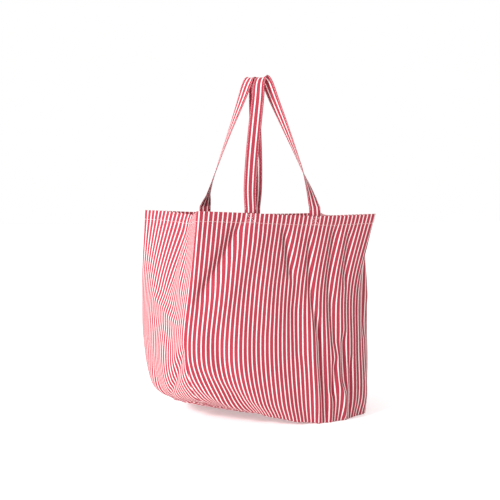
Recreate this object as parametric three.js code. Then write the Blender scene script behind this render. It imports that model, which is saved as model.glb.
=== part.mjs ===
import * as THREE from "three";

// Soft striped laundry bag with two webbing handles.
// Millimetres, +Z up, +X to the right of the front face, +Y to the back.

const CLOTH = 2; // thickness of the padded cloth walls
const GAP = 0.4; // clearance between neighbouring pieces
const HEM_DEPTH = 24; // depth of the turned-in hem
const HEM_CLOTH = 1.6; // thickness of the turned-in layer
const STRAP_WIDTH = 30;
const STRAP_CLOTH = 2.2;
const THREAD_RADIUS = 0.35;
const HEM_STITCH_OUT = 2.4; // how far the hem stitching stands off the wall
const BOX_STITCH_OUT = 1.2;
const HEIGHT = 480; // hem above the ground
const PANEL_HEM_TRIM = 9; // how far a panel's hem layer stops short of its corners
const GUSSET_HEM_TRIM = 14;
const GUSSET_HEM_GAP = 1.2; // wider than GAP, because the gusset folds sharply
const SEAM_TRIM = 4.5; // how far a gusset stops short of the front and back panels
const BASE_INSET = 3.2; // how far the base stops short of the walls

// Plan sections from the base seam up to the hem. Each row lists 16 stations
// anticlockwise seen from above: front-left corner, three along the front,
// front-right corner, three on the right gusset, back-right corner, three along
// the back, back-left corner, three on the left gusset. Each station is x, y, z.
const LEVELS = [0, 0.12, 0.36, 0.66, 1];
const SECTIONS = [
  [
    [-192, -98, 46], [-94, -164, 28], [2, -190, 6], [80, -196, 0],
    [142, -180, 0], [192, -146, 0], [214, -60, 0], [216, 30, 0],
    [196, 110, 0], [110, 150, 0], [0, 158, 0], [-110, 146, 6],
    [-196, 96, 22], [-222, 50, 34], [-232, 0, 42], [-230, -48, 48],
  ],
  [
    [-242, -118, 80], [-132, -178, 72], [-16, -202, 64], [82, -207, 58],
    [146, -190, 58], [202, -150, 58], [234, -64, 58], [236, 34, 58],
    [214, 122, 58], [112, 170, 58], [0, 180, 60], [-116, 164, 62],
    [-256, 108, 66], [-270, 54, 70], [-270, 0, 74], [-262, -56, 77],
  ],
  [
    [-266, -136, 184], [-146, -180, 180], [-24, -198, 176], [76, -200, 174],
    [148, -182, 174], [206, -142, 174], [238, -66, 174], [240, 36, 174],
    [220, 124, 174], [112, 172, 174], [0, 182, 176], [-120, 168, 178],
    [-276, 118, 180], [-284, 58, 182], [-280, 0, 184], [-272, -66, 184],
  ],
  [
    [-254, -142, 322], [-138, -164, 318], [-22, -172, 314], [82, -172, 312],
    [166, -160, 312], [212, -126, 312], [234, -64, 312], [236, 32, 312],
    [226, 120, 312], [112, 154, 314], [0, 162, 316], [-124, 156, 318],
    [-276, 126, 322], [-270, 60, 322], [-256, 0, 322], [-252, -70, 322],
  ],
  [
    [-235, -132, 482], [-118, -137, 478], [-4, -139, 473], [112, -138, 471],
    [235, -132, 476], [208, -76, 474], [184, -8, 472], [204, 62, 474],
    [230, 122, 478], [112, 130, 476], [0, 132, 476], [-124, 132, 480],
    [-267, 132, 485], [-230, 72, 482], [-192, 4, 474], [-214, -66, 477],
  ],
];

const SIDES = { front: 0, right: 4, back: 8, left: 12 };

const HANDLE_RISE = 310; // from the handle's lower end to its top
// Where each handle's middle is along x, half the distance between its legs, and
// its width direction along its path: pairs of the share of its length and the
// degrees from +X towards +Y.
const HANDLES = {
  front: {
    middle: -23,
    half: 83,
    twist: [[0, 0], [0.25, -20], [0.42, -36], [0.55, -62], [0.72, -90], [0.86, -116], [1, -180]],
  },
  back: {
    middle: -36,
    half: 70,
    twist: [[0, 0], [0.05, 50], [0.1, 64], [0.3, 84], [0.45, 112], [0.7, 134], [1, 180]],
  },
};
const HINGE_ABOVE_HEM = 12;
const STRAP_START = 4; // the moving strap starts this far above its hinge line
const HANDLE_TOP_Y = 16.5; // distance of each handle's top from the middle plane
// Half of a handle's path, as across and up fractions of its span and rise.
const HANDLE_PATH = [
  [1, 0], [0.93, 0.14], [0.74, 0.36], [0.5, 0.6], [0.27, 0.82], [0.13, 0.96],
];
const CLOTH_RED = 0xd3707f;
const THREAD_WHITE = 0xf2ebe6;

function material(colour, name) {
  const made = new THREE.MeshStandardMaterial({ color: colour, roughness: 0.9 });
  made.name = name;
  return made;
}

function named(name, positions, triangles, kind) {
  const geometry = new THREE.BufferGeometry();
  geometry.setAttribute("position", new THREE.Float32BufferAttribute(positions.flat(), 3));
  geometry.setIndex(triangles);
  geometry.computeVertexNormals();
  const colour = kind === "thread" ? THREAD_WHITE : CLOTH_RED;
  const mesh = new THREE.Mesh(geometry, material(colour, kind));
  mesh.name = name;
  return mesh;
}

// One smooth curve for each side and section.
const CURVES = {};
for (const [side, first] of Object.entries(SIDES)) {
  CURVES[side] = SECTIONS.map((section) => {
    const stations = [0, 1, 2, 3, 4].map((k) => new THREE.Vector3(...section[(first + k) % 16]));
    return new THREE.CatmullRomCurve3(stations, false, "centripetal");
  });
}

// The wall's outer surface: u runs along the side and v from base seam to hem.
function wallPoint(side, u, v) {
  const column = CURVES[side].map((curve) => curve.getPoint(THREE.MathUtils.clamp(u, 0, 1)));
  const held = Math.min(v, 1);
  let k = 0;
  while (k < LEVELS.length - 2 && held > LEVELS[k + 1]) {
    k += 1;
  }
  const t = (held - LEVELS[k]) / (LEVELS[k + 1] - LEVELS[k]);
  const upright = new THREE.CatmullRomCurve3(column, false, "catmullrom", 0.5);
  const point = upright.getPoint((k + t) / (LEVELS.length - 1));
  point.z = Math.max(point.z, 0);
  if (v > 1) {
    point.z += (v - 1) * HEIGHT;
  }
  return point;
}

function wallNormal(side, u, v) {
  const step = 0.004;
  const u0 = Math.max(u - step, 0);
  const u1 = Math.min(u + step, 1);
  const v0 = Math.max(Math.min(v, 1) - step, 0);
  const v1 = Math.min(Math.min(v, 1) + step, 1);
  const middle = Math.min(v, 1);
  const across = wallPoint(side, u1, middle).sub(wallPoint(side, u0, middle));
  const up = wallPoint(side, u, v1).sub(wallPoint(side, u, v0));
  return across.cross(up).normalize();
}

// A closed thin sheet on a grid of outer points with their inward offsets.
function sheetMesh(name, outer, inner, kind) {
  const rows = outer.length;
  const columns = outer[0].length;
  const count = rows * columns;
  const positions = [];
  for (const layer of [outer, inner]) {
    for (const row of layer) {
      for (const point of row) {
        positions.push(point.toArray());
      }
    }
  }
  const triangles = [];
  const quad = (a, b, c, d) => triangles.push(a, b, c, a, c, d);
  const at = (r, c) => r * columns + c;
  for (let r = 0; r < rows - 1; r += 1) {
    for (let c = 0; c < columns - 1; c += 1) {
      quad(at(r, c), at(r, c + 1), at(r + 1, c + 1), at(r + 1, c));
      quad(count + at(r, c), count + at(r + 1, c), count + at(r + 1, c + 1), count + at(r, c + 1));
    }
  }
  const last = rows - 1;
  for (let c = 0; c < columns - 1; c += 1) {
    quad(at(0, c), count + at(0, c), count + at(0, c + 1), at(0, c + 1));
    quad(at(last, c), at(last, c + 1), count + at(last, c + 1), count + at(last, c));
  }
  const end = columns - 1;
  for (let r = 0; r < last; r += 1) {
    quad(at(r, 0), at(r + 1, 0), count + at(r + 1, 0), count + at(r, 0));
    quad(at(r, end), count + at(r, end), count + at(r + 1, end), at(r + 1, end));
  }
  return named(name, positions, triangles, kind);
}

// A sheet between two inward offsets, over the grid of the given u and v values.
function wallSheet(name, side, across, upward, offsets, kind) {
  const layer = (offset) => upward.map((v) => across.map((u) => {
    return wallPoint(side, u, v).addScaledVector(wallNormal(side, u, v), -offset);
  }));
  return sheetMesh(name, layer(offsets[0]), layer(offsets[1]), kind);
}

function evenly(from, to, steps) {
  return Array.from({ length: steps + 1 }, (_, k) => THREE.MathUtils.lerp(from, to, k / steps));
}

// Even columns along a side, stopping short of both corners by the same trim, so
// that the layers of one side share their columns.
function columns(side, trim) {
  const share = trim / sideLength(side);
  const inner = evenly(0, 1, isGusset(side) ? 14 : 20).filter((u) => u > share && u < 1 - share);
  return [share, ...inner, 1 - share];
}

function isGusset(side) {
  return side === "left" || side === "right";
}

function sideLength(side) {
  return CURVES[side][LEVELS.length - 1].getLength();
}

function hemHeight(depth) {
  return 1 - depth / HEIGHT;
}

function walls() {
  const made = [];
  const hemLine = hemHeight(HEM_DEPTH);
  const rows = [...evenly(0, hemLine, 14), 1];
  for (const side of Object.keys(SIDES)) {
    const gusset = isGusset(side);
    const name = gusset ? `${side}_gusset` : `${side}_panel`;
    const wallColumns = columns(side, gusset ? SEAM_TRIM : 0);
    const hemColumns = columns(side, gusset ? GUSSET_HEM_TRIM : PANEL_HEM_TRIM);
    const hemOut = CLOTH + (gusset ? GUSSET_HEM_GAP : GAP);
    const hemOffsets = [hemOut, hemOut + HEM_CLOTH];
    made.push(wallSheet(name, side, wallColumns, rows, [0, CLOTH], "cloth"));
    made.push(wallSheet(`${side}_hem`, side, hemColumns, [hemLine, 0.999], hemOffsets, "cloth"));
  }
  return made;
}

// The base: flat on the ground, its rim rising to meet the lifted seam.
function base() {
  const around = [];
  for (const side of Object.keys(SIDES)) {
    for (let k = 0; k < 12; k += 1) {
      around.push(wallPoint(side, k / 12, 0));
    }
  }
  const middle = new THREE.Vector3(-8, -14, 0);
  const rings = [0.3, 0.6, 0.8, 0.92, 1];
  const positions = [];
  for (const lift of [0, CLOTH]) {
    positions.push([middle.x, middle.y, lift]);
    for (const ring of rings) {
      for (const seam of around) {
        const radius = Math.hypot(seam.x - middle.x, seam.y - middle.y);
        const share = (ring * (radius - BASE_INSET)) / radius;
        const x = THREE.MathUtils.lerp(middle.x, seam.x, share);
        const y = THREE.MathUtils.lerp(middle.y, seam.y, share);
        const rise = ring > 0.6 ? ((ring - 0.6) / 0.4) ** 2 : 0;
        positions.push([x, y, seam.z * rise + lift]);
      }
    }
  }
  const count = around.length;
  const layer = 1 + rings.length * count;
  const triangles = [];
  const at = (top, ring, k) => top * layer + 1 + ring * count + (k % count);
  for (let k = 0; k < count; k += 1) {
    triangles.push(0, at(0, 0, k + 1), at(0, 0, k));
    triangles.push(layer, at(1, 0, k), at(1, 0, k + 1));
    for (let ring = 0; ring < rings.length - 1; ring += 1) {
      triangles.push(at(0, ring, k), at(0, ring, k + 1), at(0, ring + 1, k + 1));
      triangles.push(at(0, ring, k), at(0, ring + 1, k + 1), at(0, ring + 1, k));
      triangles.push(at(1, ring, k), at(1, ring + 1, k + 1), at(1, ring, k + 1));
      triangles.push(at(1, ring, k), at(1, ring + 1, k), at(1, ring + 1, k + 1));
    }
    const rim = rings.length - 1;
    triangles.push(at(0, rim, k), at(0, rim, k + 1), at(1, rim, k + 1));
    triangles.push(at(0, rim, k), at(1, rim, k + 1), at(1, rim, k));
  }
  return named("base_panel", positions, triangles, "cloth");
}

// A closed loop of thread through the points, with a square section.
function threadLoop(name, points, outward) {
  const positions = [];
  const count = points.length;
  for (let k = 0; k < count; k += 1) {
    const along = points[(k + 1) % count].clone().sub(points[(k + count - 1) % count]).normalize();
    const out = outward[k].clone().addScaledVector(along, -outward[k].dot(along)).normalize();
    const across = along.clone().cross(out);
    for (const [a, b] of [[1, 1], [-1, 1], [-1, -1], [1, -1]]) {
      const point = points[k].clone();
      point.addScaledVector(out, a * THREAD_RADIUS).addScaledVector(across, b * THREAD_RADIUS);
      positions.push(point.toArray());
    }
  }
  const triangles = [];
  for (let k = 0; k < count; k += 1) {
    const next = (k + 1) % count;
    for (let c = 0; c < 4; c += 1) {
      const d = (c + 1) % 4;
      triangles.push(k * 4 + c, k * 4 + d, next * 4 + d);
      triangles.push(k * 4 + c, next * 4 + d, next * 4 + c);
    }
  }
  return named(name, positions, triangles, "thread");
}

function onWall(side, u, v, offset) {
  const normal = wallNormal(side, u, v);
  return [wallPoint(side, u, v).addScaledVector(normal, offset), normal];
}

function hemStitch() {
  const points = [];
  const outward = [];
  for (const side of Object.keys(SIDES)) {
    for (let k = 0; k <= 20; k += 1) {
      const [point, normal] = onWall(side, k / 20, hemHeight(HEM_DEPTH - 3), HEM_STITCH_OUT);
      points.push(point);
      outward.push(normal);
    }
  }
  return threadLoop("hem_topstitch", points, outward);
}

// Where a side's hem crosses an x position, as a share of that side.
function shareAtX(side, x) {
  const curve = CURVES[side][LEVELS.length - 1];
  let best = 0;
  for (let k = 0; k <= 2000; k += 1) {
    const share = k / 2000;
    if (Math.abs(curve.getPoint(share).x - x) < Math.abs(curve.getPoint(best).x - x)) {
      best = share;
    }
  }
  return best;
}

function shareRange(side, x, half) {
  const ends = [shareAtX(side, x - half), shareAtX(side, x + half)];
  return [Math.min(...ends), Math.max(...ends)];
}

function strapEnd(side, end, x) {
  const [u0, u1] = shareRange(side, x, STRAP_WIDTH / 2);
  const from = CLOTH + HEM_CLOTH + 2 * GAP;
  const rows = [hemHeight(HEM_DEPTH - 2), 1, 1 + 2 / HEIGHT];
  const offsets = [from, from + STRAP_CLOTH];
  return wallSheet(`${side}_strap_end_${end}`, side, evenly(u0, u1, 3), rows, offsets, "cloth");
}

function boxStitch(side, end, x) {
  const [u0, u1] = shareRange(side, x, STRAP_WIDTH / 2 - 2.5);
  const v0 = hemHeight(HEM_DEPTH - 5);
  const v1 = hemHeight(3);
  const corners = [[u0, v0], [u1, v0], [u1, v1], [u0, v1]];
  const points = [];
  const outward = [];
  corners.forEach((corner, k) => {
    const next = corners[(k + 1) % 4];
    for (let s = 0; s < 4; s += 1) {
      const u = THREE.MathUtils.lerp(corner[0], next[0], s / 4);
      const v = THREE.MathUtils.lerp(corner[1], next[1], s / 4);
      const [point, normal] = onWall(side, u, v, BOX_STITCH_OUT);
      points.push(point);
      outward.push(normal);
    }
  });
  return threadLoop(`${side}_box_stitch_${end}`, points, outward);
}

function interpolated(pairs, share) {
  const k = Math.min(pairs.findLastIndex((pair) => pair[0] <= share), pairs.length - 2);
  const [from, to] = [pairs[k], pairs[k + 1]];
  return THREE.MathUtils.mapLinear(share, from[0], to[0], from[1], to[1]);
}

function handle(side) {
  const { middle: middleX, half, twist } = HANDLES[side];
  const anchor = wallPoint(side, shareAtX(side, middleX), 1);
  const sign = side === "front" ? -1 : 1;
  const inset = CLOTH + HEM_CLOTH + 2 * GAP + STRAP_CLOTH / 2;
  const startY = anchor.y - sign * inset;
  const startZ = anchor.z + HINGE_ABOVE_HEM + STRAP_START;
  const point = (across, up) => {
    const y = THREE.MathUtils.lerp(startY, sign * HANDLE_TOP_Y, up);
    const x = middleX + across * half;
    return new THREE.Vector3(x, y, startZ + up * HANDLE_RISE);
  };
  const left = HANDLE_PATH.map(([across, up]) => point(-across, up));
  const right = HANDLE_PATH.map(([across, up]) => point(across, up)).reverse();
  const path = new THREE.CatmullRomCurve3([...left, point(0, 1), ...right], false, "centripetal");
  const steps = 56;
  const outer = [];
  const inner = [];
  for (let k = 0; k <= steps; k += 1) {
    const share = k / steps;
    const middle = path.getPointAt(share);
    const along = path.getTangentAt(share);
    const turn = THREE.MathUtils.degToRad(interpolated(twist, share));
    const across = new THREE.Vector3(Math.cos(turn), Math.sin(turn), 0);
    across.addScaledVector(along, -across.dot(along)).normalize();
    const face = across.clone().cross(along);
    const corner = (a, b) => {
      const made = middle.clone().addScaledVector(across, (a * STRAP_WIDTH) / 2);
      return made.addScaledVector(face, (b * STRAP_CLOTH) / 2);
    };
    outer.push([corner(-1, 1), corner(0, 1), corner(1, 1)]);
    inner.push([corner(-1, -1), corner(0, -1), corner(1, -1)]);
  }
  return sheetMesh(`${side}_handle_strap`, outer, inner, "cloth");
}

function build() {
  const bag = new THREE.Group();
  bag.name = "laundry_bag";
  bag.add(...walls(), base(), hemStitch());
  for (const side of ["front", "back"]) {
    bag.add(handle(side));
    for (const [end, sign] of [["left", -1], ["right", 1]]) {
      const x = HANDLES[side].middle + sign * HANDLES[side].half;
      bag.add(strapEnd(side, end, x));
      bag.add(boxStitch(side, end, x));
    }
  }
  return bag;
}

// Puts the middle of the outline over the origin and the lowest point on z = 0.
function centred(bag) {
  const box = new THREE.Box3().setFromObject(bag, true);
  const middle = box.getCenter(new THREE.Vector3());
  for (const mesh of bag.children) {
    mesh.geometry.translate(-middle.x, -middle.y, -box.min.z);
  }
  return bag;
}

export default centred(build());
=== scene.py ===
"""Soft striped laundry bag: cloth shell, base, stitching and handle straps, in metres."""
import math

import bpy
import numpy as np
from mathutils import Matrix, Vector


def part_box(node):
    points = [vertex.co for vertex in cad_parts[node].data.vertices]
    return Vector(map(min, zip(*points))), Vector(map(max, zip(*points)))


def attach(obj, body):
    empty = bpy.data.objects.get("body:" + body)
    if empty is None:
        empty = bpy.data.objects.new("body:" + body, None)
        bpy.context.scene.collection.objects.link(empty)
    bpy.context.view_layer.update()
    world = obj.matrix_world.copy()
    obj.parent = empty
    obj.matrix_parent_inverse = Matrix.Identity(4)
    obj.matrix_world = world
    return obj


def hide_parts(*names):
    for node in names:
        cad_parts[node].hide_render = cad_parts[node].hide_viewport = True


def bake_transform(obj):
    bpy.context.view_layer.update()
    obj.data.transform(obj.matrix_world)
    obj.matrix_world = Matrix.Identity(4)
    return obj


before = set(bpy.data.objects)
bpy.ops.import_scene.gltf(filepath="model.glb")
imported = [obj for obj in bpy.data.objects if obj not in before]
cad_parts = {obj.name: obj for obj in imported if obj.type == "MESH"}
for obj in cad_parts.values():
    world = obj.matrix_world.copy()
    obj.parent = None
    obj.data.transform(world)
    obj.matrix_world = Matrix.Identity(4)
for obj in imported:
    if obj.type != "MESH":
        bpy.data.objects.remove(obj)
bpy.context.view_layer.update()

MM = 0.001
PERIOD = 11.2 * MM  # one red and one white stripe
WHITE_SHARE = 0.25  # of the period
CLOTH = 0.9 * MM
HEM_DEPTH = 24 * MM
HEM_PROUD = 0.7 * MM  # how far the doubled cloth stands out
HEM_PULLED = 0.9 * MM  # how far its stitch line is drawn in
HEM_GAP = 2.1 * MM  # between the wall and its turned-in layer
BAG_HEIGHT = 480 * MM
STRAP_WIDTH = 30 * MM
STRAP_CLOTH = 2.2 * MM
STITCH_LENGTH = 2.9 * MM
STITCH_PITCH = 3.9 * MM
STITCH_RADIUS = 0.34 * MM
STITCH_OUT = 0.15 * MM  # how far a stitch's middle stands off the cloth
HEM_STITCH_DROP = HEM_DEPTH - 3 * MM  # the stitch line, below the hem's edge
BOX_MARGIN = 2.5 * MM  # from a strap's edge to its box of stitches
BOX_TOP_DROP = 3 * MM
BOX_LOW_DROP = 19 * MM
THREAD_PITCH = 0.42 * MM  # from one yarn of the weave to the next
COLUMN_STEP = 3 * MM  # the shell's mesh round the bag
SEAM_DIP = 2.2 * MM  # how far a corner seam pulls the cloth in
SEAM_WIDTH = 3.2 * MM
SHIFT = Vector((20.47, 12.15, 0.0))  # the plan's own origin to the frame's, in mm

# The plan sections, as in the part's source, in millimetres: 16 stations
# anticlockwise from the front-left corner, from the base seam up to the hem.
LEVELS = [0, 0.12, 0.36, 0.66, 1]
SECTIONS = [
    [
        (-192, -98, 46), (-94, -164, 28), (2, -190, 6), (80, -196, 0),
        (142, -180, 0), (192, -146, 0), (214, -60, 0), (216, 30, 0),
        (196, 110, 0), (110, 150, 0), (0, 158, 0), (-110, 146, 6),
        (-196, 96, 22), (-222, 50, 34), (-232, 0, 42), (-230, -48, 48),
    ],
    [
        (-242, -118, 80), (-132, -178, 72), (-16, -202, 64), (82, -207, 58),
        (146, -190, 58), (202, -150, 58), (234, -64, 58), (236, 34, 58),
        (214, 122, 58), (112, 170, 58), (0, 180, 60), (-116, 164, 62),
        (-256, 108, 66), (-270, 54, 70), (-270, 0, 74), (-262, -56, 77),
    ],
    [
        (-266, -136, 184), (-146, -180, 180), (-24, -198, 176), (76, -200, 174),
        (148, -182, 174), (206, -142, 174), (238, -66, 174), (240, 36, 174),
        (220, 124, 174), (112, 172, 174), (0, 182, 176), (-120, 168, 178),
        (-276, 118, 180), (-284, 58, 182), (-280, 0, 184), (-272, -66, 184),
    ],
    [
        (-254, -142, 322), (-138, -164, 318), (-22, -172, 314), (82, -172, 312),
        (166, -160, 312), (212, -126, 312), (234, -64, 312), (236, 32, 312),
        (226, 120, 312), (112, 154, 314), (0, 162, 316), (-124, 156, 318),
        (-276, 126, 322), (-270, 60, 322), (-256, 0, 322), (-252, -70, 322),
    ],
    [
        (-235, -132, 482), (-118, -137, 478), (-4, -139, 473), (112, -138, 471),
        (235, -132, 476), (208, -76, 474), (184, -8, 472), (204, 62, 474),
        (230, 122, 478), (112, 130, 476), (0, 132, 476), (-124, 132, 480),
        (-267, 132, 485), (-230, 72, 482), (-192, 4, 474), (-214, -66, 477),
    ],
]
SIDES = ["front", "right", "back", "left"]
SIDE_LENGTH = {"front": 470 * MM, "right": 278 * MM, "back": 497 * MM, "left": 293 * MM}

# Drape creases: side, u and v of both ends, half width in mm, depth in mm (minus is a valley).
CREASES = [
    ("front", 0.24, 0.97, 0.05, 0.58, 12, -10.0),
    ("front", 0.35, 0.92, 0.14, 0.50, 20, 4.0),
    ("front", 0.47, 0.93, 0.56, 0.70, 9, -7.0),
    ("front", 0.40, 0.80, 0.42, 0.45, 24, 3.0),
    ("front", 0.62, 0.90, 0.725, 0.42, 6, -6.0),
    ("front", 0.725, 0.50, 0.745, 0.0, 8, -6.0),
    ("front", 0.69, 0.60, 0.705, 0.0, 9, 4.0),
    ("front", 0.76, 0.95, 0.80, 0.60, 10, -6.0),
    ("front", 0.86, 0.92, 0.90, 0.66, 9, -5.0),
    ("front", 0.81, 0.62, 0.84, 0.34, 12, -7.0),
    ("front", 0.83, 0.30, 0.80, 0.12, 7, -6.0),
    ("front", 0.90, 0.42, 0.88, 0.16, 8, -6.0),
    ("front", 0.86, 0.20, 0.90, 0.0, 7, 5.0),
    ("front", 0.95, 0.30, 0.94, 0.02, 6, -4.0),
    ("front", 0.78, 0.16, 0.79, 0.0, 6, 3.0),
    ("front", 0.58, 0.60, 0.62, 0.30, 14, -4.0),
    ("front", 0.14, 0.46, 0.20, 0.26, 16, -4.0),
    ("front", 0.02, 0.28, 0.34, 0.06, 12, -5.0),
    ("front", 0.06, 0.16, 0.26, 0.02, 9, 4.0),
    ("left", 0.46, 0.98, 0.56, 0.62, 14, -4.0),
    ("left", 0.60, 0.95, 0.80, 0.60, 12, 4.0),
    ("left", 0.30, 0.58, 0.80, 0.46, 14, 4.0),
    ("left", 0.95, 0.34, 0.55, 0.04, 12, -7.0),
    ("left", 0.80, 0.24, 0.50, 0.02, 9, 4.0),
    ("left", 0.20, 0.36, 0.45, 0.04, 14, -5.0),
    ("right", 0.08, 0.80, 0.12, 0.40, 8, -5.0),
    ("right", 0.24, 0.55, 0.20, 0.05, 12, -5.0),
    ("right", 0.60, 0.70, 0.55, 0.10, 20, 3.5),
    ("back", 0.30, 0.95, 0.34, 0.40, 12, -7.0),
    ("back", 0.66, 0.95, 0.80, 0.50, 12, -7.0),
    ("back", 0.48, 0.60, 0.46, 0.10, 16, -4.0),
    ("back", 0.15, 0.45, 0.10, 0.02, 10, -6.0),
    ("back", 0.88, 0.40, 0.92, 0.02, 10, -5.0),
]

DRIFT = 42 * MM  # how far the threads slant at the slumped corner
DRIFT_TOP = 0.34  # the share of the height where that starts
CREASE_GAIN = 1.25
CREASE_SPREAD = 1.3
BROAD_RIPPLE = 1.4 * MM
NARROW_RIPPLE = 1.5 * MM  # fades out upwards

HANDLE_MIDDLE_X = {"front": (SHIFT.x - 23) * MM, "back": (SHIFT.x - 36) * MM}
HANDLE_HALF_SPAN = {"front": 83 * MM, "back": 70 * MM}
HANDLE_TOP_Y = 16.5 * MM
HANDLE_RISE = 310 * MM
STRAP_INSET = 5.9 * MM  # the free strap's middle lies this far inside the wall
SEWN_INSET = 5.1 * MM  # and its sewn end's this far
SEWN_DROPS = (22, 16, 10, 4)  # points down the sewn end, in mm below the hem's edge
FREE_STEPS = 150  # points on the free strap's route
STRAP_STEPS = 320  # rings of the strap's mesh
UNSTITCHED_RINGS = 14  # at each end of a strap
EDGE_STITCH_PLACE = 0.86  # share of the strap's half width
HANDLE_PATH = [(1, 0), (0.93, 0.14), (0.74, 0.36), (0.5, 0.6), (0.27, 0.82), (0.13, 0.96)]
# The strap's width direction: the share of its length, and degrees from +X towards +Y.
TWIST = {
    "front": [(0, 0), (0.25, -20), (0.42, -36), (0.55, -62), (0.72, -90), (0.86, -116), (1, -180)],
    "back": [(0, 0), (0.05, 50), (0.1, 64), (0.3, 84), (0.45, 112), (0.7, 134), (1, 180)],
}

CAMERA_PLACE = (-0.926, -1.812, 0.480)  # metres, from the plan's own origin
CAMERA_YAW = 26
CAMERA_PITCH = 2.58  # degrees downwards
CAMERA_LENS = 60

FLOOR_REACH = 30.0  # metres, so that its edge is out of sight
BRIGHT_SIDE = (-0.8, 0.6, 0.0)  # the way the studio is brightest
DIM_SIDE_LEVEL = 0.65

RED = (0.290, 0.014, 0.030)
RED_PALE = (0.440, 0.064, 0.096)
WHITE = (0.84, 0.75, 0.73)


# ---------------------------------------------------------------- materials
class Nodes:
    """A small helper that adds and links shader nodes."""

    def __init__(self, name):
        self.material = bpy.data.materials.new(name)
        self.material.use_nodes = True
        self.tree = self.material.node_tree
        self.principled = self.tree.nodes["Principled BSDF"]

    def add(self, kind, **values):
        node = self.tree.nodes.new(kind)
        for key, value in values.items():
            setattr(node, key, value)
        return node

    def put(self, socket, value):
        if isinstance(value, bpy.types.NodeSocket):
            self.tree.links.new(value, socket)
        else:
            socket.default_value = value

    def math(self, operation, a, b=0.0, c=0.0):
        node = self.add("ShaderNodeMath", operation=operation)
        for socket, value in zip(node.inputs, (a, b, c)):
            self.put(socket, value)
        return node.outputs[0]

    def ramp(self, value, low, high):
        node = self.add("ShaderNodeMapRange", interpolation_type="SMOOTHSTEP")
        self.put(node.inputs["Value"], value)
        node.inputs["From Min"].default_value = low
        node.inputs["From Max"].default_value = high
        return node.outputs["Result"]

    def mix(self, share, a, b):
        node = self.add("ShaderNodeMix", data_type="RGBA")
        self.put(node.inputs["Factor"], share)
        for socket, value in ((node.inputs[6], a), (node.inputs[7], b)):
            self.put(socket, value if isinstance(value, bpy.types.NodeSocket) else (*value, 1.0))
        return node.outputs[2]

    def noise(self, vector, scale, detail=2.0):
        node = self.add("ShaderNodeTexNoise")
        self.put(node.inputs["Vector"], vector)
        node.inputs["Scale"].default_value = scale
        node.inputs["Detail"].default_value = detail
        return node.outputs["Fac"]


def ticking(name, stripe_offset):
    """Warp-striped cotton: the UV map holds the thread's place across and along, in metres."""
    n = Nodes(name)
    uv = n.add("ShaderNodeUVMap", uv_map="threads").outputs["UV"]
    split = n.add("ShaderNodeSeparateXYZ")
    n.put(split.inputs[0], uv)
    across, along = split.outputs[0], split.outputs[1]
    stretched = n.add("ShaderNodeCombineXYZ")
    n.put(stretched.inputs[0], n.math("MULTIPLY", across, 1500.0))
    n.put(stretched.inputs[1], n.math("MULTIPLY", along, 45.0))
    slub = n.noise(stretched.outputs[0], 1.0, 3.0)
    wander = n.math("MULTIPLY", n.math("SUBTRACT", slub, 0.5), 0.05)
    phase = n.math("ADD", n.math("DIVIDE", across, PERIOD), stripe_offset)
    place = n.math("FRACT", n.math("ADD", phase, wander))
    from_middle = n.math("ABSOLUTE", n.math("SUBTRACT", place, 0.5))
    white = n.ramp(from_middle, WHITE_SHARE / 2 + 0.035, WHITE_SHARE / 2 - 0.035)
    thread = 2 * math.pi / THREAD_PITCH
    warp = n.math("SINE", n.math("MULTIPLY", across, thread))
    weft = n.math("SINE", n.math("MULTIPLY", along, thread))
    weave = n.math("MULTIPLY", warp, weft)
    patch = n.noise(uv, 28.0, 4.0)
    fleck = n.noise(uv, 1600.0, 2.0)
    flecks = n.math("MULTIPLY", n.ramp(fleck, 0.35, 0.75), 0.55)
    pale = n.math("ADD", flecks, n.math("MULTIPLY", patch, 0.35))
    pale = n.math("ADD", pale, n.math("MULTIPLY", n.math("MULTIPLY", weave, slub), 0.20))
    red = n.mix(pale, RED, RED_PALE)
    cream = n.mix(n.math("MULTIPLY", patch, 0.5), WHITE, (0.74, 0.60, 0.58))
    n.put(n.principled.inputs["Base Color"], n.mix(white, red, cream))
    n.put(n.principled.inputs["Roughness"], n.math("MULTIPLY_ADD", slub, 0.12, 0.82))
    n.principled.inputs["Specular IOR Level"].default_value = 0.15
    n.principled.inputs["Sheen Weight"].default_value = 0.08
    n.principled.inputs["Sheen Roughness"].default_value = 0.5
    fine = n.add("ShaderNodeBump")
    fine.inputs["Strength"].default_value = 0.35
    fine.inputs["Distance"].default_value = 0.12 * MM
    n.put(fine.inputs["Height"], weave)
    broad = n.add("ShaderNodeBump")
    broad.inputs["Strength"].default_value = 0.5
    broad.inputs["Distance"].default_value = 1.6 * MM
    n.put(broad.inputs["Height"], n.noise(uv, 55.0, 3.0))
    n.put(broad.inputs["Normal"], fine.outputs["Normal"])
    n.put(n.principled.inputs["Normal"], broad.outputs["Normal"])
    return n.material


def thread_material():
    n = Nodes("stitch_thread")
    place = n.add("ShaderNodeTexCoord").outputs["Object"]
    twist = n.noise(place, 900.0, 2.0)
    n.put(n.principled.inputs["Base Color"], n.mix(twist, (0.80, 0.50, 0.52), (0.90, 0.74, 0.74)))
    n.principled.inputs["Roughness"].default_value = 0.75
    bump = n.add("ShaderNodeBump")
    bump.inputs["Distance"].default_value = 0.1 * MM
    n.put(bump.inputs["Height"], twist)
    n.put(n.principled.inputs["Normal"], bump.outputs["Normal"])
    return n.material


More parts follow.
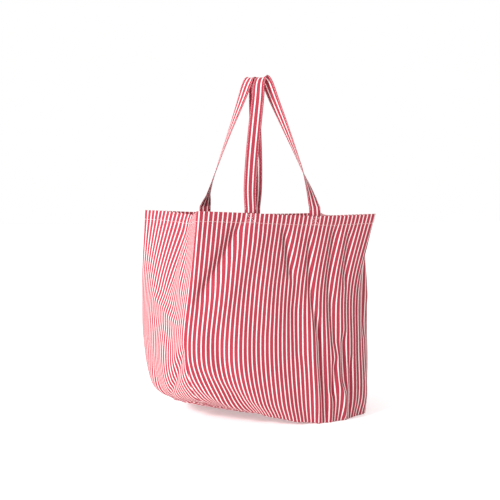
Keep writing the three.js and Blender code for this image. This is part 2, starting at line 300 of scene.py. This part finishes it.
# ---------------------------------------------------------------- cloth shape
def catmull(points, t):
    """Points on a uniform Catmull-Rom curve, with t from 0 to 1 along it."""
    points = np.asarray(points, float)
    padded = np.vstack([2 * points[0] - points[1], points, 2 * points[-1] - points[-2]])
    place = np.clip(np.asarray(t, float), 0, 1) * (len(points) - 1)
    k = np.minimum(place.astype(int), len(points) - 2)
    f = (place - k)[:, None]
    a, b, c, d = (padded[k + i] for i in range(4))
    square = (2 * a - 5 * b + 4 * c - d) * f**2
    cube = (3 * b - a - 3 * c + d) * f**3
    return 0.5 * (2 * b + (c - a) * f + square + cube)


def even_catmull(points, t):
    """The same curve, with t even along its length."""
    fine = catmull(points, np.linspace(0, 1, 400))
    run = np.concatenate([[0], np.cumsum(np.linalg.norm(np.diff(fine, axis=0), axis=1))])
    wanted = np.asarray(t) * run[-1]
    return np.stack([np.interp(wanted, run, fine[:, i]) for i in range(3)], axis=1)


def level_place(v):
    """v from 0 to 1 as an even place along the list of sections."""
    return np.interp(v, LEVELS, np.linspace(0, 1, len(LEVELS)))


def wall_grid(v):
    """The smooth wall at the given heights: rows of points, and each column's side and u."""
    columns = []
    labels = []
    for index, side in enumerate(SIDES):
        count = int(SIDE_LENGTH[side] / COLUMN_STEP)
        u = np.linspace(0, 1, count, endpoint=False)
        stations = [[SECTIONS[row][(4 * index + k) % 16] for k in range(5)] for row in range(5)]
        columns.append(np.stack([even_catmull(row, u) for row in stations]))
        labels += [(side, value) for value in u]
    sections = np.concatenate(columns, axis=1)
    sections = soften_corners(sections, labels)
    grid = np.stack([catmull(sections[:, c], level_place(v)) for c in range(sections.shape[1])], axis=1)
    grid = grid * MM + np.array(SHIFT) * MM
    grid[:, :, 2] = np.maximum(grid[:, :, 2], CLOTH)
    return grid, labels


def soften_corners(sections, labels):
    """Rounds the corner folds: hardly at the hem and widely at the base."""
    count = sections.shape[1]
    corners = [k for k in range(count) if labels[k][1] == 0]
    for row, passes in enumerate((120, 70, 18, 5, 2)):
        for _ in range(passes):
            line = sections[row]
            mean = (np.roll(line, 1, axis=0) + np.roll(line, -1, axis=0)) / 2
            for corner in corners:
                near = (np.arange(-9, 10) + corner) % count
                line[near] += 0.6 * (mean[near] - line[near])
    return sections


def grid_normals(grid):
    """Outward normals; the grid closes on itself round the bag."""
    across = np.roll(grid, -1, axis=1) - np.roll(grid, 1, axis=1)
    up = np.gradient(grid, axis=0)
    normal = np.cross(across, up)
    return normal / np.maximum(np.linalg.norm(normal, axis=2, keepdims=True), 1e-12)


def thread_places(labels):
    """Each column's distance round the bag, in metres of cloth."""
    start = 0.0
    starts = {}
    for side in SIDES:
        starts[side] = start
        start += SIDE_LENGTH[side]
    return np.array([starts[side] + u * SIDE_LENGTH[side] for side, u in labels]), start


def thread_drift(labels, v):
    """How far the threads run on towards the right, in metres, low on the slumped left corner."""
    weight = []
    for side, u in labels:
        share = {"front": 1 - u / 0.5, "left": u}.get(side, 0.0)
        weight.append(smooth_step(share))
    low = smooth_step(1 - np.asarray(v) / DRIFT_TOP) ** 1.4
    return DRIFT * low[:, None] * np.array(weight)[None, :]


def smooth_step(value):
    held = np.clip(value, 0, 1)
    return held * held * (3 - 2 * held)


def crease_depth(labels, v):
    """How far the drape creases and ripples push the cloth out, in metres."""
    depth = np.zeros((len(v), len(labels)))
    places, _ = thread_places(labels)
    u = np.array([value for _, value in labels])
    for side, u0, v0, u1, v1, width, height in CREASES:
        on = np.array([1.0 if label[0] == side else 0.0 for label in labels])
        length = SIDE_LENGTH[side]
        a = np.array([u0 * length, v0 * BAG_HEIGHT])
        b = np.array([u1 * length, v1 * BAG_HEIGHT])
        px = (u * length)[None, :]
        py = (np.asarray(v) * BAG_HEIGHT)[:, None]
        t = ((px - a[0]) * (b - a)[0] + (py - a[1]) * (b - a)[1]) / np.sum((b - a) ** 2)
        held = np.clip(t, 0, 1)
        gap = np.hypot(px - a[0] - held * (b - a)[0], py - a[1] - held * (b - a)[1])
        fade = np.exp(-((np.maximum(np.abs(t - 0.5) - 0.3, 0)) / 0.2) ** 2)
        across = np.exp(-((gap / (CREASE_SPREAD * width * MM)) ** 2))
        depth += CREASE_GAIN * height * MM * on[None, :] * across * fade
    edge = np.clip(np.minimum(u, 1 - u) / 0.04, 0, 1)[None, :]
    s = places[None, :]
    h = np.asarray(v)[:, None]
    broad = np.sin(s * 31 + 2.0 * h + 0.6) * np.sin(h * 7.0 + s * 9)
    narrow = np.sin(s * 74 + 3.1 * np.sin(h * 4.0) + 1.0) * np.clip(1 - h * 1.3, 0, 1)
    depth += edge * (BROAD_RIPPLE * broad + NARROW_RIPPLE * narrow)
    return depth * np.clip((1.0 - h) / 0.08, 0.25, 1)


def hem_relief(v):
    """The hem stands a little proud and is pulled in along its stitch line."""
    drop = (1 - np.asarray(v)) * BAG_HEIGHT
    proud = HEM_PROUD / (1 + np.exp((drop - HEM_DEPTH) / (0.8 * MM)))
    pulled = -HEM_PULLED * np.exp(-(((drop - HEM_STITCH_DROP) / (1.3 * MM)) ** 2))
    return proud + pulled


def mesh_object(name, vertices, faces, uvs, material, smooth=True):
    mesh = bpy.data.meshes.new(name)
    mesh.from_pydata([tuple(p) for p in vertices], [], faces)
    if uvs is not None:
        layer = mesh.uv_layers.new(name="threads")
        layer.data.foreach_set("uv", np.asarray(uvs, np.float32).ravel())
    mesh.polygons.foreach_set("use_smooth", [smooth] * len(mesh.polygons))
    mesh.materials.append(material)
    made = bpy.data.objects.new(name, mesh)
    bpy.context.scene.collection.objects.link(made)
    return made


def add_thickness(piece):
    """Gives a one-layer piece its cloth, on the inner side."""
    solid = piece.modifiers.new("thickness", "SOLIDIFY")
    solid.thickness = CLOTH
    solid.offset = -1
    solid.use_even_offset = False


def outer_wall():
    """The finished outer surface, its normals, heights and columns."""
    v = np.concatenate([np.linspace(0, 0.94, 190), np.linspace(0.944, 1, 30)])
    grid, labels = wall_grid(v)
    normals = grid_normals(grid)
    out = crease_depth(labels, v) + hem_relief(v)[:, None]
    seam = seam_dip(labels)[None, :] * np.ones((len(v), 1))
    grid = grid + normals * (out + seam)[:, :, None]
    grid[:, :, 2] = np.maximum(grid[:, :, 2], CLOTH)
    return grid, grid_normals(grid), v, labels


def seam_dip(labels):
    """How far each column is drawn in by the corner seams."""
    u = np.array([min(value, 1 - value) * SIDE_LENGTH[side] for side, value in labels])
    return -SEAM_DIP * np.exp(-((u / SEAM_WIDTH) ** 2))


def bag_walls(wall, material):
    """The four walls as one draped shell, turned in over the hem."""
    grid, normals, v, labels = wall
    top = grid[-1]
    inward = -normals[-1]
    rows = list(grid)
    heights = list(v * BAG_HEIGHT)
    for turn in (0.25, 0.5, 0.75, 1.0):
        angle = turn * math.pi
        shift = inward * (HEM_GAP / 2) * (1 - math.cos(angle))
        lift = np.array([0, 0, HEM_GAP / 2 * math.sin(angle)])
        rows.append(top + shift + lift)
        heights.append(BAG_HEIGHT + turn * HEM_GAP)
    for drop in np.linspace(0.1, 1, 10):
        row = np.argmin(np.abs(v - (1 - drop * HEM_DEPTH / BAG_HEIGHT)))
        rows.append(grid[row] - normals[row] * HEM_GAP)
        heights.append(BAG_HEIGHT + HEM_GAP + drop * HEM_DEPTH)
    places, total = thread_places(labels)
    count = len(labels)
    drift = thread_drift(labels, np.array(heights) / BAG_HEIGHT)
    across = np.append(places, total) - np.column_stack([drift, drift[:, 0]])
    faces = []
    uvs = []
    for r in range(len(rows) - 1):
        for c in range(count):
            d = (c + 1) % count
            faces.append((r * count + c, r * count + d, (r + 1) * count + d, (r + 1) * count + c))
            for row, column in ((r, c), (r, c + 1), (r + 1, c + 1), (r + 1, c)):
                uvs.append((across[row, column], heights[row]))
    made = mesh_object("bag_walls", np.concatenate(rows), faces, uvs, material)
    add_thickness(made)
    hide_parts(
        "front_panel", "back_panel", "left_gusset", "right_gusset",
        "front_hem", "back_hem", "left_hem", "right_hem",
    )
    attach(made, "bag")
    return made


def bag_base(wall, material):
    """The base panel, flat where it stands and rising softly to the lifted seam."""
    seam = wall[0][0]
    count = len(seam)
    middle = np.array([seam[:, 0].mean(), seam[:, 1].mean(), 0.0])
    shares = np.linspace(0.03, 1, 26)
    rows = []
    for share in shares:
        ring = middle + (seam - middle) * share
        rise = np.clip((share - 0.2) / 0.8, 0, 1) ** 1.15
        ring[:, 2] = CLOTH + (seam[:, 2] - CLOTH) * rise
        rows.append(ring)
    vertices = np.concatenate(rows + [middle[None] + np.array([[0, 0, CLOTH]])])
    faces = []
    uvs = []
    for r in range(len(rows) - 1):
        for c in range(count):
            d = (c + 1) % count
            faces.append((r * count + d, r * count + c, (r + 1) * count + c, (r + 1) * count + d))
    hub = len(vertices) - 1
    faces += [((c + 1) % count, hub, c) for c in range(count)]
    for face in faces:
        uvs += [(vertices[k][0], vertices[k][1]) for k in face]
    made = mesh_object("bag_base", vertices, faces, uvs, material)
    add_thickness(made)
    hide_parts("base_panel")
    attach(made, "bag")
    return made


# ---------------------------------------------------------------- stitches
def capsules(name, stitches, material):
    """Many short rounded stitches in one mesh; each is its two ends and its radius."""
    vertices = []
    faces = []
    profile = [(-0.5, 0.45), (-0.3, 1.0), (0.3, 1.0), (0.5, 0.45)]
    sides = 6
    for start, end in stitches:
        along = end - start
        length = np.linalg.norm(along)
        along = along / length
        side = np.cross(along, (0.31, 0.17, 0.93))
        side /= np.linalg.norm(side)
        other = np.cross(along, side)
        first = len(vertices)
        for place, width in profile:
            for k in range(sides):
                angle = 2 * math.pi * k / sides
                around = side * math.cos(angle) + other * math.sin(angle)
                middle = (start + end) / 2 + along * place * length
                vertices.append(middle + around * width * STITCH_RADIUS)
        for ring in range(len(profile) - 1):
            for k in range(sides):
                m = (k + 1) % sides
                low = first + ring * sides
                faces.append((low + k, low + m, low + sides + m, low + sides + k))
        faces.append(tuple(first + k for k in reversed(range(sides))))
        faces.append(tuple(first + (len(profile) - 1) * sides + k for k in range(sides)))
    made = mesh_object(name, vertices, faces, None, material)
    return made


def stitches_along(points, closed=False):
    """Even stitches laid along a line of points."""
    points = np.asarray(points)
    if closed:
        points = np.vstack([points, points[:1]])
    run = np.concatenate([[0], np.cumsum(np.linalg.norm(np.diff(points, axis=0), axis=1))])
    found = []
    for k in range(int(run[-1] / STITCH_PITCH)):
        ends = (k * STITCH_PITCH, k * STITCH_PITCH + STITCH_LENGTH)
        found.append([np.array([np.interp(e, run, points[:, i]) for i in range(3)]) for e in ends])
    return found


def wall_spot(wall, side, u, drop, out):
    """A point on the finished wall, drop below the hem's edge and out from the cloth."""
    grid, normals, v, labels = wall
    columns = [k for k, label in enumerate(labels) if label[0] == side]
    place = columns[0] + u * len(columns)
    low = int(place)
    share = place - low
    high = (low + 1) % len(labels)
    row = np.interp(1 - drop / BAG_HEIGHT, v, np.arange(len(v)))
    below = int(min(row, len(v) - 2))
    rise = row - below
    found = []
    for source in (grid, normals):
        lower = source[below, low] * (1 - share) + source[below, high] * share
        upper = source[below + 1, low] * (1 - share) + source[below + 1, high] * share
        found.append(lower * (1 - rise) + upper * rise)
    return found[0] + found[1] * out


def hem_stitching(wall, material):
    """The row of stitches all round the hem."""
    line = []
    for side in SIDES:
        for u in np.linspace(0, 1, 160, endpoint=False):
            line.append(wall_spot(wall, side, u, HEM_STITCH_DROP, STITCH_OUT))
    made = capsules("hem_stitching", stitches_along(line, closed=True), material)
    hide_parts("hem_topstitch")
    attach(made, "bag")
    return made


def share_at_x(wall, side, x):
    """The u of a side's hem that lies nearest to x."""
    us = np.linspace(0, 0.999, 900)
    xs = [wall_spot(wall, side, u, 0.0, 0.0)[0] for u in us]
    return us[int(np.argmin(np.abs(np.array(xs) - x)))]


def box_stitching(wall, side, end, x, material):
    """A crossed box of stitches through one strap end."""
    half = STRAP_WIDTH / 2 - BOX_MARGIN
    ends = sorted((share_at_x(wall, side, x - half), share_at_x(wall, side, x + half)))
    low = [(u, BOX_LOW_DROP) for u in ends]
    high = [(u, BOX_TOP_DROP) for u in reversed(ends)]
    corners = low + high
    stitches = []
    routes = [(0, 1), (1, 2), (2, 3), (3, 0), (0, 2), (1, 3)]
    for a, b in routes:
        line = []
        for t in np.linspace(0, 1, 24):
            u = corners[a][0] * (1 - t) + corners[b][0] * t
            drop = corners[a][1] * (1 - t) + corners[b][1] * t
            line.append(wall_spot(wall, side, u, drop, STITCH_OUT))
        stitches += stitches_along(line)
    made = capsules(f"{side}_box_stitching_{end}", stitches, material)
    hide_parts(f"{side}_box_stitch_{end}")
    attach(made, "bag")
    return made


# ---------------------------------------------------------------- straps
def strap_route(wall, side):
    """The strap's middle line and width directions, from one sewn end to the other."""
    sign = -1 if side == "front" else 1
    middle_x = HANDLE_MIDDLE_X[side]
    half_span = HANDLE_HALF_SPAN[side]
    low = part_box(f"{side}_handle_strap")[0].z + 2.4 * MM
    middle_u = share_at_x(wall, side, middle_x)
    start_y = wall_spot(wall, side, middle_u, 0.0, 0.0)[1] - sign * STRAP_INSET

    def at(across, up):
        y = start_y + (sign * HANDLE_TOP_Y - start_y) * up
        return (middle_x + across * half_span, y, low + up * HANDLE_RISE)

    half = [at(-across, up) for across, up in HANDLE_PATH]
    rest = [at(across, up) for across, up in reversed(HANDLE_PATH)]
    shares = np.linspace(0, 1, FREE_STEPS)
    free = even_catmull(half + [at(0, 1)] + rest, shares)
    turns = np.radians(np.interp(shares, *zip(*TWIST[side])))
    ends = []
    for sign_x in (-1, 1):
        x = middle_x + sign_x * half_span
        u = share_at_x(wall, side, x)
        sewn = []
        for drop in SEWN_DROPS:
            spot = wall_spot(wall, side, u, drop * MM, -SEWN_INSET)
            spot[0] = x
            sewn.append(spot)
        ends.append(sewn)
    points = np.array(ends[0] + list(free) + ends[1][::-1])
    sewn_count = len(SEWN_DROPS)
    turns = np.concatenate([np.zeros(sewn_count), turns, np.full(sewn_count, turns[-1])])
    fine = even_catmull(points, np.linspace(0, 1, STRAP_STEPS))
    run = np.concatenate([[0], np.cumsum(np.linalg.norm(np.diff(points, axis=0), axis=1))])
    angles = np.interp(np.linspace(0, run[-1], STRAP_STEPS), run, turns)
    return fine, angles


def strap_frames(route):
    """The strap's middle line, with its directions along, across and out of its face."""
    points, angles = route
    along = np.gradient(points, axis=0)
    along /= np.linalg.norm(along, axis=1, keepdims=True)
    across = np.stack([np.cos(angles), np.sin(angles), np.zeros(len(angles))], axis=1)
    across -= along * np.sum(across * along, axis=1, keepdims=True)
    across /= np.linalg.norm(across, axis=1, keepdims=True)
    return points, along, across, np.cross(across, along)


def handle_strap(wall, side, cloth, thread):
    """One strap from sewn end to sewn end, with stitching along both edges of both faces."""
    points, _, across, face = strap_frames(strap_route(wall, side))
    outline = []
    for k in range(9):
        w = -1 + k / 4
        outline.append((w, math.sqrt(max(1 - abs(w) ** 6, 0.04)) * (0.86 + 0.14 * math.cos(3 * w))))
    section = outline + [(w, -h) for w, h in reversed(outline)]
    count = len(section)
    vertices = []
    for k in range(len(points)):
        for w, h in section:
            vertices.append(points[k] + across[k] * w * STRAP_WIDTH / 2 + face[k] * h * STRAP_CLOTH / 2)
    run = np.concatenate([[0], np.cumsum(np.linalg.norm(np.diff(points, axis=0), axis=1))])
    faces = []
    uvs = []
    for r in range(len(points) - 1):
        for c in range(count):
            d = (c + 1) % count
            faces.append((r * count + c, r * count + d, (r + 1) * count + d, (r + 1) * count + c))
            a, b = section[c][0] * STRAP_WIDTH / 2, section[d][0] * STRAP_WIDTH / 2
            uvs += [(a, run[r]), (b, run[r]), (b, run[r + 1]), (a, run[r + 1])]
    last = (len(points) - 1) * count
    for cap in (tuple(reversed(range(count))), tuple(range(last, last + count))):
        faces.append(cap)
        uvs += [(section[k % count][0] * STRAP_WIDTH / 2, 0.0) for k in cap]
    made = mesh_object(f"{side}_strap", vertices, faces, uvs, cloth)
    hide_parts(f"{side}_handle_strap", f"{side}_strap_end_left", f"{side}_strap_end_right")
    stitches = []
    for w in (-EDGE_STITCH_PLACE, EDGE_STITCH_PLACE):
        for h in (-1, 1):
            line = points + across * w * STRAP_WIDTH / 2 + face * h * STRAP_CLOTH * 0.42
            stitches += stitches_along(line[UNSTITCHED_RINGS:-UNSTITCHED_RINGS])
    edges = capsules(f"{side}_strap_stitching", stitches, thread)
    for piece in (made, edges):
        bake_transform(piece)
    return made


# ---------------------------------------------------------------- set
def floor():
    corners = [(x * FLOOR_REACH, y * FLOOR_REACH, 0) for x, y in ((-1, -1), (1, -1), (1, 1), (-1, 1))]
    n = Nodes("floor")
    n.principled.inputs["Base Color"].default_value = (0.9, 0.9, 0.9, 1)
    n.principled.inputs["Roughness"].default_value = 0.7
    n.principled.inputs["Emission Color"].default_value = (1, 1, 1, 1)
    n.principled.inputs["Emission Strength"].default_value = 0.34
    made = mesh_object("floor", corners, [(0, 1, 2, 3)], None, n.material, smooth=False)


def lamp(name, place, target, size, power):
    data = bpy.data.lights.new(name, "AREA")
    data.shape = "DISK"
    data.size = size
    data.energy = power
    made = bpy.data.objects.new(name, data)
    made.location = place
    made.rotation_euler = (Vector(target) - Vector(place)).to_track_quat("-Z", "Y").to_euler()
    bpy.context.scene.collection.objects.link(made)


def studio_world():
    """White all round, a little dimmer towards the front right, so that light comes from the left."""
    world = bpy.data.worlds.new("studio")
    world.use_nodes = True
    tree = world.node_tree
    place = tree.nodes.new("ShaderNodeTexCoord")
    towards = tree.nodes.new("ShaderNodeVectorMath")
    towards.operation = "DOT_PRODUCT"
    towards.inputs[1].default_value = BRIGHT_SIDE
    tree.links.new(place.outputs["Generated"], towards.inputs[0])
    level = tree.nodes.new("ShaderNodeMapRange")
    level.inputs["From Min"].default_value = -0.65
    level.inputs["From Max"].default_value = -0.15
    level.inputs["To Min"].default_value = DIM_SIDE_LEVEL
    level.inputs["To Max"].default_value = 1.0
    tree.links.new(towards.outputs["Value"], level.inputs["Value"])
    background = tree.nodes["Background"]
    background.inputs["Color"].default_value = (1, 1, 1, 1)
    tree.links.new(level.outputs["Result"], background.inputs["Strength"])
    return world


def lights():
    bpy.context.scene.world = studio_world()
    lamp("key", (-2.4, -1.0, 1.3), (0, 0, 0.3), 0.5, 75)
    bpy.context.scene.view_settings.view_transform = "Standard"


def camera():
    yaw = math.radians(CAMERA_YAW)
    pitch = math.radians(CAMERA_PITCH)
    data = bpy.data.cameras.new("camera")
    data.lens = CAMERA_LENS
    data.sensor_width = 36
    made = bpy.data.objects.new("camera", data)
    x, y, z = CAMERA_PLACE
    made.location = (x + SHIFT.x * MM, y + SHIFT.y * MM, z)
    ahead = Vector((math.sin(yaw) * math.cos(pitch), math.cos(yaw) * math.cos(pitch), -math.sin(pitch)))
    made.rotation_euler = ahead.to_track_quat("-Z", "Y").to_euler()
    bpy.context.scene.collection.objects.link(made)
    bpy.context.scene.camera = made


def main():
    camera()
    lights()
    floor()
    cloth = ticking("ticking_cloth", 0.02)
    strap = ticking("strap_cloth", 0.0)
    thread = thread_material()
    wall = outer_wall()
    bag_walls(wall, cloth)
    bag_base(wall, cloth)
    hem_stitching(wall, thread)
    for side in ("front", "back"):
        for end, sign in (("left", -1), ("right", 1)):
            box_stitching(wall, side, end, HANDLE_MIDDLE_X[side] + sign * HANDLE_HALF_SPAN[side], thread)
        handle_strap(wall, side, strap, thread)


main()
